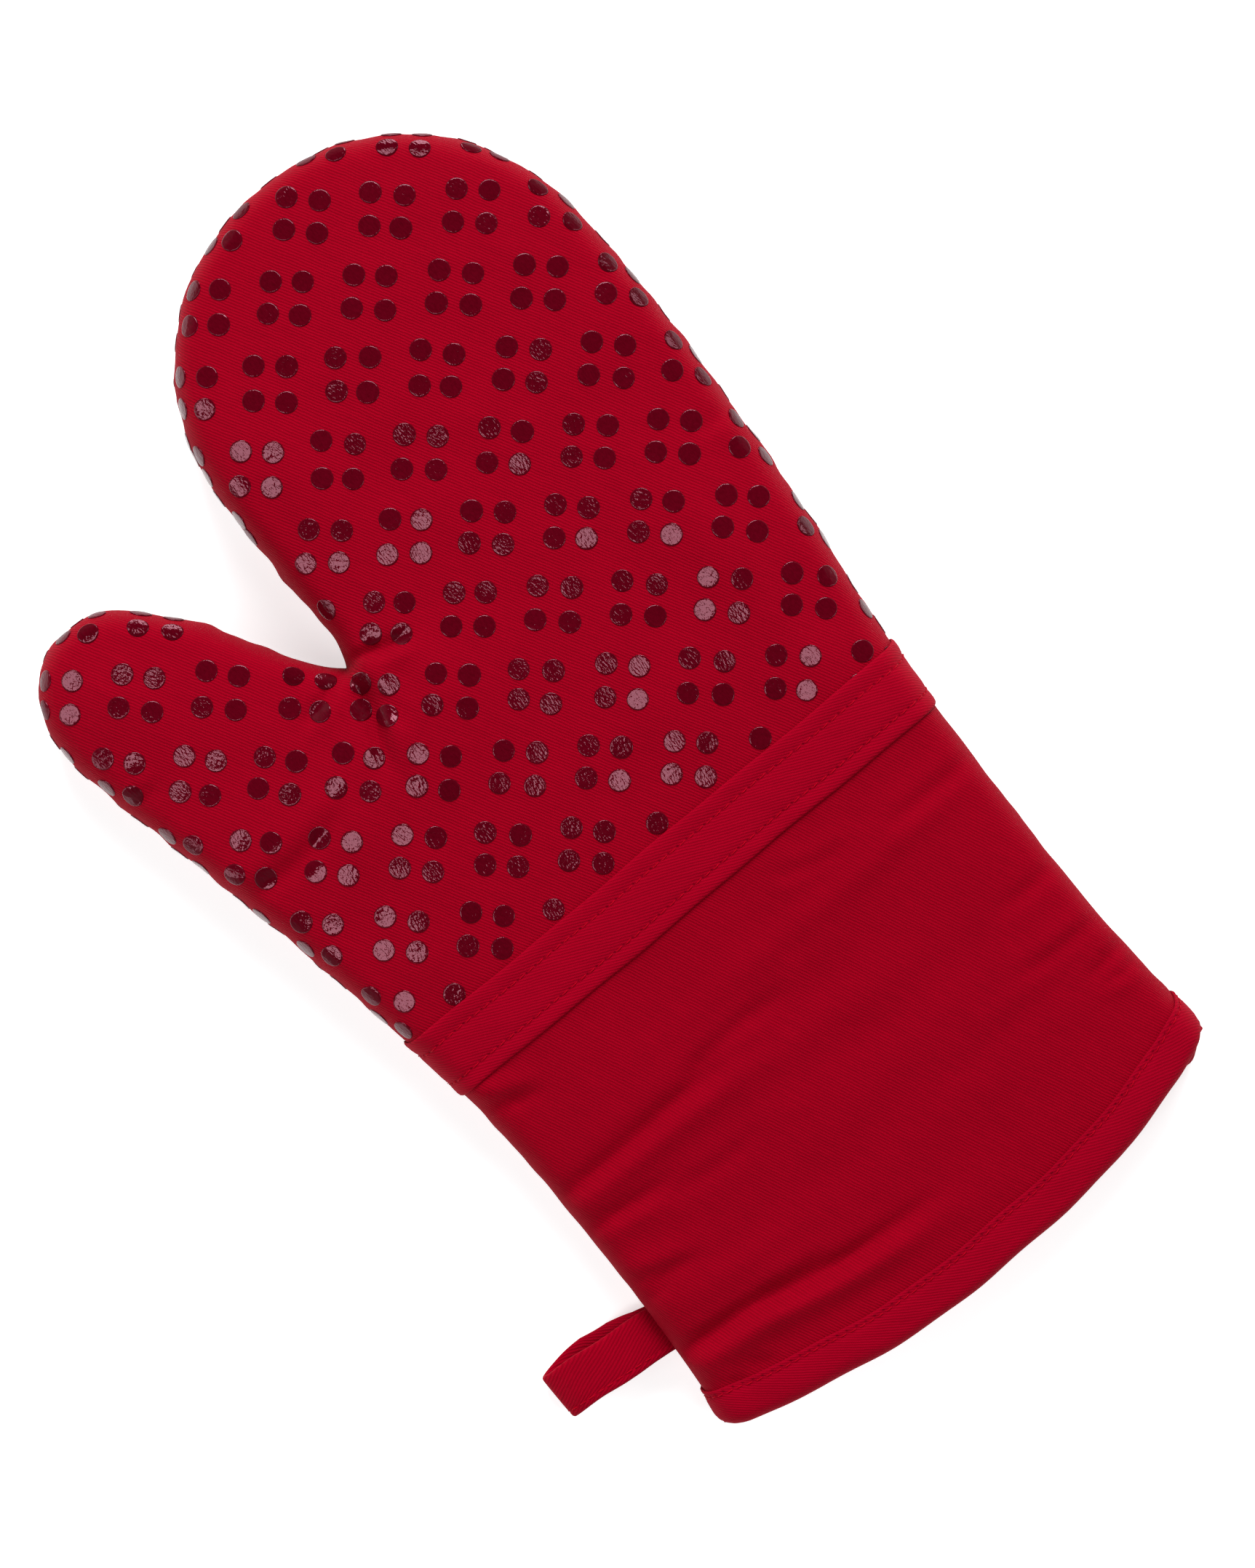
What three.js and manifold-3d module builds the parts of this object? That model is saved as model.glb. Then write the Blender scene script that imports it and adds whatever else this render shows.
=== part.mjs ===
// A quilted oven mitt, lying flat and empty with its gripping face up.
// Millimetres. +Y runs to the fingertips, +Z is up, and the thumb points to -X.
// Shapes are drawn with x from the cuff's middle and y from the hem, then centred on the origin.
//
// Each half of the mitt is a sandwich: a cotton shell, wadding and a cotton lining. The palm half
// is above the side seam and the back half below it. Cloth bends where it likes; here the sandwich
// is cut where it folds, at the fingers, the thumb and the wrist, and each piece's name ends in its
// body's name. The hanging loop swings at the side seam.
import * as THREE from 'three';
import Module from 'manifold-3d';

// --- driving dimensions ------------------------------------------------------------------------
const SEAM_HEIGHT = 10;         // the side seam above the table
const CLEARANCE = 0.3;          // air left between neighbouring pieces

// Depth of each layer's two faces below the mitt's outside, and where the binding squeezes them.
const LAYERS = {
  shell: { outer: 0, inner: 1.3, hemOuter: 1.5, hemInner: 2.3 },
  wadding: { outer: 1.6, inner: 5.0, hemOuter: 2.6, hemInner: 3.8 },
  lining: { outer: 5.3, inner: 6.1, hemOuter: 4.1, hemInner: 4.8 },
};
const LINING_FACE = 6.1;        // depth of the face that the hand touches

// Rows across the hand: y, left edge, right edge, height of the crown.
const HAND_ROWS = [
  [-12, -80.5, 79.0, 21],
  [17, -80.5, 79.0, 21],
  [25, -78.8, 77.4, 21],
  [50, -76.6, 75.8, 22],
  [85, -75.9, 75.9, 23],
  [115, -76.6, 77.0, 24],
  [139, -79.8, 79.0, 26],
  [150, -80.5, 80.0, 27],
  [165, -77.0, 82.2, 28.5],
  [180, -67.0, 83.4, 29.5],
  [195, -56.0, 84.6, 30],
  [210, -44.0, 86.2, 30],
  [222, -33.5, 87.0, 29.5],
  [232, -29.6, 87.8, 29],
  [250, -29.2, 88.0, 28],
  [270, -29.3, 87.3, 27],
];
const HAND_STEPS = [-12, 10, 16, 21, 27, 33, 50, 115, 139, 150, 165, 180, 195, 210, 223, 233, 270];
const FINGERTIP_LENGTH = 60;    // the round end is half an ellipse this long

// Rows across the thumb, in the thumb's own frame: distance along it, the same four values.
const THUMB_ROWS = [
  [-20, -20.0, 40.0, 18],
  [10, -23.3, 43.0, 25],
  [30, -22.0, 42.5, 26.5],
  [45, -21.0, 40.5, 26],
  [60, -19.2, 36.0, 25.5],
  [75, -17.4, 31.5, 25],
  [86, -15.5, 27.0, 24.5],
];
const THUMB_STEPS = [-20, 10, 30, 45, 60, 75, 86];
const THUMB_TIP_LENGTH = 23.4;
const TIP_STEPS_DEG = [25, 47, 66, 81]; // where the round ends have rings
const THUMB_ORIGIN = [-60, 170];
const THUMB_LEAN = THREE.MathUtils.degToRad(16.9);

const RING_POINTS = 16;         // points round each cross-section
const CROWN = 2.6;              // how square the crown is across the mitt
const UNDERSIDE = 4;            // the same for the flatter underside
const UNDERSIDE_FLAT = 1.25;    // spreads the part of the underside that lies on the table

// The folding places.
const CUFF_FOLD_Y = 120;        // the lower edge of the wrist band
const FINGER_FOLD_Y = 243;      // just above the thumb's crotch
const THUMB_FOLD = 52;          // along the thumb's own frame, just past the crotch
const CROTCH_X = -32;

const BAND_TOP_Y = 138.8;
const BAND_PROUD = 0.5;         // the band stands this far out of the shell
const BAND_INNER = 0.5;         // and is this deep in it
const BAND_LAP = 0.8;           // depth of the shell where it passes under the band

const HEM_SAG = 12;             // the hem curves down this far from its ends to its middle
const HEM_HALF_WIDTH = 78;
const HEM_REACH = 112;          // the hem's curve is drawn this far each way, in equal steps
const HEM_STEP = 16;
const BINDING_WIDTH = 11;
const BINDING_PROUD = 0.5;
const BINDING_OUTER_LEG = 1.2;  // depth of the channel that holds the layers
const BINDING_INNER_LEG = 5.1;
const BINDING_FOLD = 1.5;       // cloth round the edge itself
const LAYER_START = 1.8;        // the layers begin this far inside the hem
const SQUEEZE_FROM = 15;        // the layers open out between these distances from the hem
const SQUEEZE_TO = 21;

const LOOP_FROM_Y = 38.2;
const LOOP_TO_Y = 50.9;
const LOOP_ROOT = [-79.4, 9.0];  // x and z of the sewn end, which is also where it swings
const LOOP_ROOT_RADIUS = 1.6;

const REACH = 400;              // larger than the whole mitt

// --- solids ------------------------------------------------------------------------------------
const wasm = await Module();
wasm.setup();

function solidFrom(positions, triangles) {
  const mesh = new wasm.Mesh({
    numProp: 3,
    vertProperties: new Float32Array(positions),
    triVerts: new Uint32Array(triangles),
  });
  return new wasm.Manifold(mesh);
}

function geometryFrom(solid) {
  const mesh = solid.getMesh();
  const geometry = new THREE.BufferGeometry();
  geometry.setAttribute('position', new THREE.BufferAttribute(new Float32Array(mesh.vertProperties), 3));
  geometry.setIndex(new THREE.BufferAttribute(new Uint32Array(mesh.triVerts), 1));
  geometry.computeVertexNormals();
  return geometry;
}

// An upright prism over a closed outline of [x, y] points that runs anticlockwise.
function prism(outline, low = -REACH, high = REACH) {
  const points = outline.map(([x, y]) => new THREE.Vector2(x, y));
  const count = points.length;
  const positions = [];
  for (const z of [low, high]) {
    for (const p of points) positions.push(p.x, p.y, z);
  }
  const triangles = [];
  for (const [a, b, c] of THREE.ShapeUtils.triangulateShape(points, [])) {
    triangles.push(a, c, b);
    triangles.push(a + count, b + count, c + count);
  }
  for (let i = 0; i < count; i += 1) {
    const next = (i + 1) % count;
    triangles.push(i, next, next + count);
    triangles.push(i, next + count, i + count);
  }
  return solidFrom(positions, triangles);
}

function box(x0, x1, y0, y1, z0, z1) {
  return prism([[x0, y0], [x1, y0], [x1, y1], [x0, y1]], z0, z1);
}

// Joins rings of points into a closed skin, with a flat cap first and a single apex last.
function loft(rings, apex) {
  const count = rings[0].length;
  const positions = rings.flat(2);
  const capCentre = [0, 1, 2].map((axis) => rings[0].reduce((sum, p) => sum + p[axis], 0) / count);
  positions.push(...capCentre, ...apex);
  const capIndex = rings.length * count;
  const apexIndex = capIndex + 1;
  const lastRing = (rings.length - 1) * count;
  const triangles = [];
  for (let i = 0; i < count; i += 1) {
    const next = (i + 1) % count;
    triangles.push(capIndex, i, next);
    triangles.push(apexIndex, lastRing + next, lastRing + i);
    for (let r = 0; r < rings.length - 1; r += 1) {
      const low = r * count;
      const high = low + count;
      triangles.push(low + i, high + i, high + next);
      triangles.push(low + i, high + next, low + next);
    }
  }
  return solidFrom(positions, triangles);
}

// --- the mitt's outside, and every surface at a depth below it ---------------------------------
const hemCurve = (x) => HEM_SAG * (x / HEM_HALF_WIDTH) ** 2;

const mix = THREE.MathUtils.lerp;

function rowAt(rows, along) {
  const next = rows.findIndex(([y]) => y >= along);
  if (next <= 0) return rows[0].slice(1);
  const [y0, ...from] = rows[next - 1];
  const [y1, ...to] = rows[next];
  const share = (along - y0) / (y1 - y0);
  return from.map((value, i) => mix(value, to[i], share));
}

// depthAt(x) lets a layer dive into the binding near the hem.
function crossSection(along, left, right, top, depthAt) {
  const centre = (left + right) / 2;
  const halfWidth = (right - left) / 2;
  const points = [];
  for (let i = 0; i < RING_POINTS; i += 1) {
    const angle = (2 * Math.PI * i) / RING_POINTS;
    const across = Math.sin((Math.cos(angle) * Math.PI) / 2);
    const depth = depthAt(centre + halfWidth * across);
    const isPalm = i <= RING_POINTS / 2;
    const power = isPalm ? CROWN : UNDERSIDE;
    const rise = Math.max(0, 1 - Math.abs(across) ** power) ** (1 / power);
    const z = isPalm
      ? SEAM_HEIGHT + (top - depth - SEAM_HEIGHT) * rise
      : SEAM_HEIGHT - (SEAM_HEIGHT - depth) * Math.min(1, UNDERSIDE_FLAT * rise);
    points.push([centre + (halfWidth - depth) * across, along, z]);
  }
  return points;
}

// A lobe: straight rows, then a round end.
function lobe(rows, steps, endLength, depthAt) {
  const rings = steps.map((along) => crossSection(along, ...rowAt(rows, along), (x) => depthAt(x, along)));
  const [start, left, right, top] = rows[rows.length - 1];
  const depth = depthAt((left + right) / 2, start);
  const centre = (left + right) / 2;
  const halfWidth = (right - left) / 2;
  for (const degrees of TIP_STEPS_DEG) {
    const turn = THREE.MathUtils.degToRad(degrees);
    const along = start + (endLength - depth) * Math.sin(turn);
    const half = (halfWidth - depth) * Math.cos(turn) + depth;
    const drop = (1 - Math.sin(turn) ** CROWN) ** (1 / CROWN);
    const height = SEAM_HEIGHT + (top - depth - SEAM_HEIGHT) * drop + depth;
    const ring = crossSection(along, centre - half, centre + half, height, () => depth);
    rings.push(ring.map(([x, y, z]) => [x, y, z < SEAM_HEIGHT ? mix(SEAM_HEIGHT, z, drop) : z]));
  }
  return loft(rings, [centre, start + endLength - depth, SEAM_HEIGHT]);
}

const thumbFrame = new THREE.Matrix4()
  .makeTranslation(THUMB_ORIGIN[0], THUMB_ORIGIN[1], 0)
  .multiply(new THREE.Matrix4().makeRotationZ(THUMB_LEAN));

function fromThumbFrame(x, y) {
  const point = new THREE.Vector3(x, y, 0).applyMatrix4(thumbFrame);
  return [point.x, point.y];
}

// Everything deeper than bodyDepth below the outside, or than hemDepth where the binding squeezes.
function inside(bodyDepth, hemDepth = bodyDepth) {
  const handDepth = (x, y) => {
    const fromHem = y - hemCurve(x);
    return mix(hemDepth, bodyDepth, THREE.MathUtils.smoothstep(fromHem, SQUEEZE_FROM, SQUEEZE_TO));
  };
  const hand = lobe(HAND_ROWS, HAND_STEPS, FINGERTIP_LENGTH, handDepth);
  const thumb = lobe(THUMB_ROWS, THUMB_STEPS, THUMB_TIP_LENGTH, () => bodyDepth);
  return hand.add(thumb.transform(thumbFrame.elements));
}

// --- the regions that each body and each half takes --------------------------------------------
function beyondHem(distance) {
  const outline = [];
  for (let x = -HEM_REACH; x <= HEM_REACH; x += HEM_STEP) outline.push([x, hemCurve(x) + distance]);
  outline.push([HEM_REACH, REACH], [-HEM_REACH, REACH]);
  return prism(outline);
}

const half = CLEARANCE / 2;

function thumbRegion(gap) {
  const start = fromThumbFrame(-80, THUMB_FOLD + gap);
  const slope = Math.tan(THUMB_LEAN);
  const crotchY = start[1] + (CROTCH_X - gap - start[0]) * slope;
  const edgeX = CROTCH_X - gap;
  return prism([start, [edgeX, crotchY], [edgeX, REACH], [-REACH, REACH], [-REACH, start[1]]]);
}

function fingersRegion(gap) {
  return box(CROTCH_X, REACH, FINGER_FOLD_Y + gap, REACH, -REACH, REACH);
}

const REGIONS = {
  cuff: box(-REACH, REACH, -REACH, CUFF_FOLD_Y - half, -REACH, REACH),
  hand: box(-REACH, REACH, CUFF_FOLD_Y + half, REACH, -REACH, REACH)
    .subtract(fingersRegion(-half))
    .subtract(thumbRegion(-half)),
  fingers: fingersRegion(half),
  thumb: thumbRegion(half),
};
const HALVES = {
  palm: box(-REACH, REACH, -REACH, REACH, SEAM_HEIGHT + half, REACH),
  back: box(-REACH, REACH, -REACH, REACH, -REACH, SEAM_HEIGHT - half),
};

// Cuts can leave a sliver beside the crotch; the piece is the largest part.
function largestPart(solid) {
  const parts = solid.decompose();
  return parts.reduce((best, part) => (part.volume() > best.volume() ? part : best));
}

// --- materials ---------------------------------------------------------------------------------
const cloth = (color, roughness) => new THREE.MeshStandardMaterial({ color, roughness, metalness: 0 });
const MATERIALS = {
  shell: cloth(0xb0061f, 0.85),
  wadding: cloth(0xe9e4d8, 0.95),
  lining: cloth(0xa50a20, 0.9),
  band: cloth(0xb8081f, 0.85),
  binding: cloth(0xb8081f, 0.85),
  loop: cloth(0xa8061c, 0.85),
};

const mitt = new THREE.Group();

function addPiece(name, material, solid) {
  const mesh = new THREE.Mesh(geometryFrom(largestPart(solid)), material);
  mesh.name = name;
  mitt.add(mesh);
}

// --- wrist band --------------------------------------------------------------------------------
const bandZone = box(-REACH, REACH, CUFF_FOLD_Y + half, BAND_TOP_Y, 0, REACH);
const bandRing = inside(-BAND_PROUD).subtract(inside(BAND_INNER)).intersect(bandZone);
const bandChannel = box(-REACH, REACH, CUFF_FOLD_Y - half, BAND_TOP_Y + CLEARANCE, -REACH, REACH)
  .subtract(inside(BAND_LAP));

for (const [side, region] of Object.entries(HALVES)) {
  addPiece(`${side}_wrist_band`, MATERIALS.band, bandRing.intersect(region));
}

// --- shells, wadding and linings ---------------------------------------------------------------
const pastBinding = beyondHem(LAYER_START);

function layerSolid({ outer, inner, hemOuter, hemInner }) {
  const layer = inside(outer, hemOuter).subtract(inside(inner, hemInner)).intersect(pastBinding);
  return outer < BAND_LAP ? layer.subtract(bandChannel) : layer;
}

for (const [layer, depths] of Object.entries(LAYERS)) {
  const whole = layerSolid(depths);
  for (const [side, sideRegion] of Object.entries(HALVES)) {
    const sheet = whole.intersect(sideRegion);
    for (const [body, bodyRegion] of Object.entries(REGIONS)) {
      addPiece(`${side}_${layer}_${body}`, MATERIALS[layer], sheet.intersect(bodyRegion));
    }
  }
}

// --- binding round the mouth -------------------------------------------------------------------
const aboveTable = box(-REACH, REACH, -REACH, REACH, 0, REACH);
const bindingZone = beyondHem(0).subtract(beyondHem(BINDING_WIDTH)).intersect(aboveTable);
const bindingTube = inside(-BINDING_PROUD).subtract(inside(LINING_FACE)).intersect(bindingZone);
const bindingChannel = inside(BINDING_OUTER_LEG)
  .subtract(inside(BINDING_INNER_LEG))
  .intersect(beyondHem(BINDING_FOLD));
addPiece('mouth_binding', MATERIALS.binding, bindingTube.subtract(bindingChannel));

// --- hanging loop: a folded tape, seen from its edge as a teardrop ------------------------------
function loopTape() {
  const [rootX, rootZ] = LOOP_ROOT;
  const shape = new THREE.Shape();
  shape.moveTo(rootX, rootZ + LOOP_ROOT_RADIUS);
  shape.splineThru([[-90, 10.2], [-100, 9.4], [-106.5, 8.0], [-108.7, 4.6], [-106.0, 1.0], [-101, 0.0],
    [-95, 1.3], [-87, 4.4], [rootX, rootZ - LOOP_ROOT_RADIUS]].map(([x, z]) => new THREE.Vector2(x, z)));
  shape.absarc(rootX, rootZ, LOOP_ROOT_RADIUS, -Math.PI / 2, Math.PI / 2, false);
  const gap = new THREE.Path();
  gap.moveTo(-86, 7.6);
  gap.splineThru([[-92, 8.5], [-100, 7.9], [-105.2, 6.6], [-107.1, 4.6], [-105.2, 2.6], [-101, 1.7],
    [-95, 3.1], [-86, 7.6]].map(([x, z]) => new THREE.Vector2(x, z)));
  shape.holes.push(gap);
  const geometry = new THREE.ExtrudeGeometry(shape, {
    depth: LOOP_TO_Y - LOOP_FROM_Y, bevelEnabled: false, curveSegments: 3,
  });
  // The drawing's second axis becomes height, and its depth runs back along -Y.
  geometry.rotateX(Math.PI / 2);
  geometry.translate(0, LOOP_TO_Y, 0);
  return geometry;
}

const loop = new THREE.Mesh(loopTape(), MATERIALS.loop);
loop.name = 'hanging_loop';
mitt.add(loop);

// --- the origin: the middle of the mitt's box, on the table -------------------------------------
const extent = new THREE.Box3().setFromObject(mitt);
const centre = extent.getCenter(new THREE.Vector3());
mitt.position.set(-centre.x, -centre.y, -extent.min.z);

export default mitt;
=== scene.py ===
import math

import bpy
import numpy as np
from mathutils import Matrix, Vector
from mathutils.bvhtree import BVHTree
from mathutils.geometry import delaunay_2d_cdt
from mathutils.kdtree import KDTree


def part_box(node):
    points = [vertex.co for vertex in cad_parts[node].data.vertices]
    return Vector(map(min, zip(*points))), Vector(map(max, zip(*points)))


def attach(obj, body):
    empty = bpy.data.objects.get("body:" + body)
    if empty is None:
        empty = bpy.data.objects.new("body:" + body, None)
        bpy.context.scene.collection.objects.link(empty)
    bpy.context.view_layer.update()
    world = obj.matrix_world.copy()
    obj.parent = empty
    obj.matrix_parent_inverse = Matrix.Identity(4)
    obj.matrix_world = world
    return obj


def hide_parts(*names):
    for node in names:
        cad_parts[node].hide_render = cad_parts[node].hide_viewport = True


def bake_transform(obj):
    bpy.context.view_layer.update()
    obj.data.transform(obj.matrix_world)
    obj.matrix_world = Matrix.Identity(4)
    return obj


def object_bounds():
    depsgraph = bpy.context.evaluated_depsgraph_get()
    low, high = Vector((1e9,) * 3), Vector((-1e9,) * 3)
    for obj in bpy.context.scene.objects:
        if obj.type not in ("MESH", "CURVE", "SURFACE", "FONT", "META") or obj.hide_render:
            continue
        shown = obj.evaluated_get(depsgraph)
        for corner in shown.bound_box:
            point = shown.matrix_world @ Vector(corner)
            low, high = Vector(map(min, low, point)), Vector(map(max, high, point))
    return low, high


# --- sizes ---
SEAM_Z = 10.0                # the side seam above the table
HEM_SAG, HEM_HALF_WIDTH = 12.0, 78.0
CLOTH_START = 2.0            # the cloth ends this far above the hem, inside the binding

LEFT_SIDE = [(-79.3, -8), (-79.4, 15), (-77.9, 26), (-76.4, 50), (-75.9, 92), (-77.4, 120),
             (-81.8, 150), (-88.1, 186), (-95.8, 222), (-100.4, 246)]
THUMB_TIP_CENTRE, THUMB_TIP_RADII = (5.75, 85.2), (21.25, 22.0)   # in the thumb's own frame
THUMB_INNER_SIDE = [(-52.0, 253.8), (-44.4, 240), (-36.8, 228)]
CROTCH = [(-32.9, 223.3), (-31.6, 222.3), (-30.7, 223.6)]
FINGERS_LEFT = [(-29.6, 229), (-29.5, 250)]
FINGERTIP_CENTRE, FINGERTIP_RADII, FINGERTIP_POWER = (28.8, 270.0), (58.4, 60.0), 2.1
RIGHT_SIDE = [(88.0, 250), (86.9, 222), (84.4, 186), (80.1, 150), (77.9, 126), (76.7, 98),
              (75.8, 60), (77.2, 27), (77.8, 15), (77.6, -8)]
CROTCH_POINT = np.array(CROTCH[1])

THUMB_ORIGIN, THUMB_LEAN = np.array([-60.0, 170.0]), math.radians(16.9)
THUMB_ACROSS = np.array([math.cos(THUMB_LEAN), math.sin(THUMB_LEAN)])
THUMB_ALONG = np.array([-math.sin(THUMB_LEAN), math.cos(THUMB_LEAN)])

BAND_LOW, BAND_HIGH = 120.2, 139.2

# Each layer's slot, its faces' depths below the outer face, those depths at the hem, and how far
# inside the hem it ends, hidden by the binding.
LAYERS = {
    "shell": ("shell_cotton", (0.0, 0.6), (0.0, 0.6), 0),
    "wadding": ("wadding", (2.3, 5.0), (2.6, 3.8), 8),
    "lining": ("lining_cotton", (5.3, 6.0), (4.1, 4.8), 4),
}

DOT_RADIUS, DOT_RISE = 2.86, 0.26
DOT_ORIGIN = np.array([-0.70, 317.16])
DOT_STEP_A, DOT_STEP_B = np.array([17.18, -12.71]), np.array([0.79, -25.82])
DOT_GROUP = np.array([(5.93, 0.09), (-5.93, -0.09), (-0.18, 5.96), (0.18, -5.96)])
BACK_DOT_SHIFT = np.array([4.0, 9.0])

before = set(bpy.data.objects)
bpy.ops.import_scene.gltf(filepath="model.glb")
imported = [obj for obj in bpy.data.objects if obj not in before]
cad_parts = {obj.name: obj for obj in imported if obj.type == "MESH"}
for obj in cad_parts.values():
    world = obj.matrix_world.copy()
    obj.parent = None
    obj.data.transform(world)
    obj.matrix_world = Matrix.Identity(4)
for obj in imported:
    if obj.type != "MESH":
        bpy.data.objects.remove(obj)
cad_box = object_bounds()
binding_low, binding_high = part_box("mouth_binding")
FRAME_OFFSET = np.array([(binding_low.x + binding_high.x) * 500 + 0.75, cad_box[0].y * 1000, 0.0])


def to_row(points):
    return (np.asarray(points, float) + FRAME_OFFSET) / 1000


# --- small maths ---
def smoothstep(value, start, end):
    t = np.clip((np.asarray(value, float) - start) / (end - start), 0, 1)
    return t * t * (3 - 2 * t)


def unit(vectors):
    return vectors / np.maximum(np.linalg.norm(vectors, axis=-1, keepdims=True), 1e-9)


def hem(x):
    return HEM_SAG * (np.clip(x, -90, 90) / HEM_HALF_WIDTH) ** 2


def lattice_noise(x, y, seed):
    """Smooth noise from -1 to 1 with features about one unit wide."""
    def corner(i, j):
        value = np.sin(i * 127.1 + j * 311.7 + seed * 74.7) * 43758.5453
        return 2 * (value - np.floor(value)) - 1

    i, j = np.floor(x), np.floor(y)
    u, v = x - i, y - j
    u, v = u ** 3 * (u * (6 * u - 15) + 10), v ** 3 * (v * (6 * v - 15) + 10)
    low = corner(i, j) * (1 - u) + corner(i + 1, j) * u
    high = corner(i, j + 1) * (1 - u) + corner(i + 1, j + 1) * u
    return low * (1 - v) + high * v


def curve_through(points, per_span=24):
    """A centripetal Catmull-Rom curve."""
    def mix(t, t0, t1, start, end):
        return (t1 - t) / (t1 - t0) * start + (t - t0) / (t1 - t0) * end

    p = np.array(points, float)
    p = np.vstack([2 * p[0] - p[1], p, 2 * p[-1] - p[-2]])
    spans = []
    for a, b, c, d in zip(p, p[1:], p[2:], p[3:]):
        t0, t1 = 0.0, np.linalg.norm(b - a) ** 0.5
        t2 = t1 + np.linalg.norm(c - b) ** 0.5
        t3 = t2 + np.linalg.norm(d - c) ** 0.5
        t = np.linspace(t1, t2, per_span, endpoint=False)[:, None]
        ab, bc, cd = mix(t, t0, t1, a, b), mix(t, t1, t2, b, c), mix(t, t2, t3, c, d)
        spans.append(mix(t, t1, t2, mix(t, t0, t2, ab, bc), mix(t, t1, t3, bc, cd)))
    return np.vstack(spans + [p[-2:-1]])


# --- the outline ---
def from_thumb(across, along):
    """The mitt's x and y from a place in the thumb's own frame."""
    return THUMB_ORIGIN + np.multiply.outer(across, THUMB_ACROSS) + np.multiply.outer(along, THUMB_ALONG)


def to_thumb(plan):
    """(across, along) in the thumb's own frame."""
    return (plan - THUMB_ORIGIN) @ np.column_stack([THUMB_ACROSS, THUMB_ALONG])


def thumb_tip():
    angles = np.radians(np.arange(162, 15, -18))
    return from_thumb(THUMB_TIP_CENTRE[0] + THUMB_TIP_RADII[0] * np.cos(angles),
                      THUMB_TIP_CENTRE[1] + THUMB_TIP_RADII[1] * np.sin(angles)).tolist()


def fingertip():
    angles = np.radians(np.arange(171, 8, -13.5))
    c, s = np.cos(angles), np.sin(angles)
    x = FINGERTIP_CENTRE[0] + FINGERTIP_RADII[0] * np.sign(c) * np.abs(c) ** (2 / FINGERTIP_POWER)
    y = FINGERTIP_CENTRE[1] + FINGERTIP_RADII[1] * s ** (2 / FINGERTIP_POWER)
    return np.c_[x, y].tolist()


OUTLINE_CURVE = curve_through(LEFT_SIDE + thumb_tip() + THUMB_INNER_SIDE + CROTCH + FINGERS_LEFT
                              + fingertip() + RIGHT_SIDE)


class Outline:
    """The mitt's outline from the left end of the hem to the right end, with inward normals."""

    def __init__(self, spacing):
        path = OUTLINE_CURVE
        step = np.linalg.norm(np.diff(path, axis=0), axis=1)
        from_crotch = np.linalg.norm((path[1:] + path[:-1]) / 2 - CROTCH_POINT, axis=1)
        local = 0.35 + (spacing - 0.35) * smoothstep(from_crotch, 2, 14)
        count = np.r_[0, np.cumsum(step / local)]
        wanted = np.linspace(0, count[-1], int(count[-1]) + 1)
        self.q = np.c_[np.interp(wanted, count, path[:, 0]), np.interp(wanted, count, path[:, 1])]
        tangent = unit(np.gradient(self.q, axis=0))
        self.n = np.c_[tangent[:, 1], -tangent[:, 0]]
        self.along = np.interp(wanted, count, np.r_[0, np.cumsum(step)])


FINE = Outline(1.0)
FINE_TREE = KDTree(len(FINE.q))
for number, spot in enumerate(FINE.q):
    FINE_TREE.insert((*spot, 0), number)
FINE_TREE.balance()


def nearest_on_outline(points):
    """Distance inside the outline, the nearest point's place along it, that point, and the way in."""
    start, ahead = FINE.q[:-1], np.diff(FINE.q, axis=0)
    at = np.array([FINE_TREE.find((x, y, 0))[1] for x, y in points], int)
    at = np.clip(at, 1, len(start) - 1)
    found = []
    for segment in (at - 1, at):
        t = ((points - start[segment]) * ahead[segment]).sum(1) / (ahead[segment] ** 2).sum(1)
        t = np.clip(t, 0, 1)[:, None]
        foot = start[segment] + t * ahead[segment]
        inward = unit(FINE.n[segment] * (1 - t) + FINE.n[segment + 1] * t)
        along = FINE.along[segment] * (1 - t[:, 0]) + FINE.along[segment + 1] * t[:, 0]
        found.append((np.linalg.norm(points - foot, axis=1), along, foot, inward))
    nearer = found[1][0] < found[0][0]
    gap, along = (np.where(nearer, b, a) for a, b in zip(found[0][:2], found[1][:2]))
    foot, inward = (np.where(nearer[:, None], b, a) for a, b in zip(found[0][2:], found[1][2:]))
    sign = np.where(((points - foot) * inward).sum(1) < 0, -1.0, 1.0)
    inward = np.where(gap[:, None] > 0.3, unit(points - foot) * sign[:, None], inward)
    return gap * sign, along, foot, inward


# --- the surface of the mitt ---
class Side:
    """One half of the mitt: how its cloth turns over the edge."""

    def __init__(self, name, up, reach, rise, power):
        self.name, self.up, self.reach = name, up, reach
        angle = np.linspace(0, math.pi / 2, 500)
        self.inset = reach * (1 - np.cos(angle) ** (2 / power))
        self.share = np.sin(angle) ** (2 / power)
        steps = np.hypot(np.diff(self.inset), rise * np.diff(self.share))
        self.arc = np.r_[0, np.cumsum(steps)]
        self.length = self.arc[-1]
        self.extra = self.length - reach     # how far the flat cloth reaches past the outline

    def turn(self, arc):
        """Inset and share of the full height at a length of cloth from the seam."""
        return np.interp(arc, self.arc, self.inset), np.interp(arc, self.arc, self.share)


PALM = Side("palm", 1, reach=6.8, rise=15.0, power=2.3)
BACK = Side("back", -1, reach=9.0, rise=9.5, power=2.1)

# The palm's height above the table at places up its middle.
CROWN_Y = [0, 22, 50, 115, 139, 165, 200, 240, 270, 330]
CROWN_Z = [19.6, 20.8, 21.6, 23.2, 25.2, 27.2, 28.4, 28.0, 27.2, 24.5]

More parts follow.
